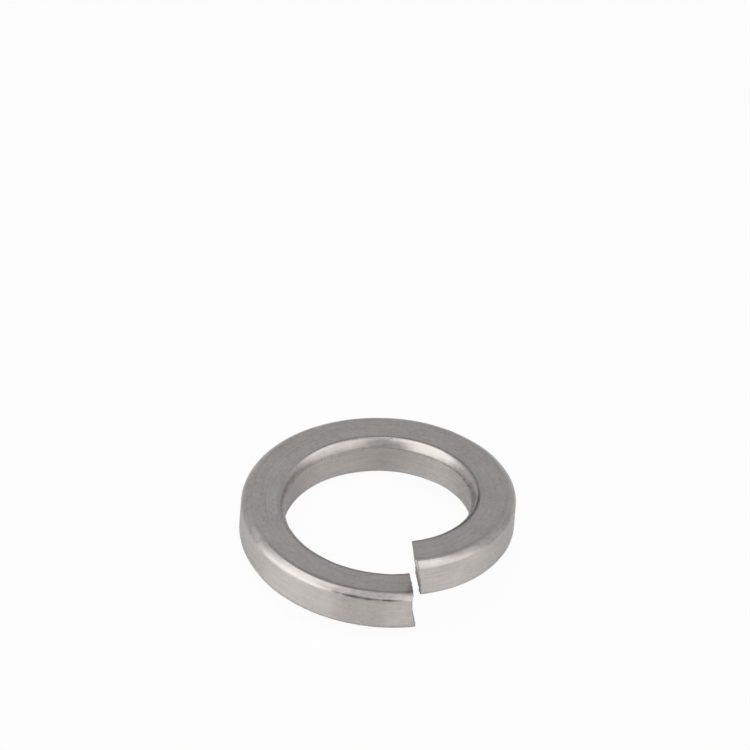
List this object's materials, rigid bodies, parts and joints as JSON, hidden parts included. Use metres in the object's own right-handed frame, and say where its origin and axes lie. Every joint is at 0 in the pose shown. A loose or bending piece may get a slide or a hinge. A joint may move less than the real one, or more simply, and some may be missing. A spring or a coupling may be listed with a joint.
{
  "type": "spring lock washer",
  "caption": "Spring lock washer: a single turn of square wire with rounded edges, coiled left-handed and sheared apart at a slant, with its ends sprung out of line.",
  "frame": {"origin": "on the washer's axis, level with its lowest point", "axes": "+Z along the bore's axis, away from the lower end; the gap between the two ends faces -Y"},
  "size_m": [0.034, 0.034, 0.0103],
  "materials": {
    "steel": "tumbled satin stainless steel"
  },
  "bodies": {
    "root": {"lock_washer": "steel"}
  },
  "joints": []
}
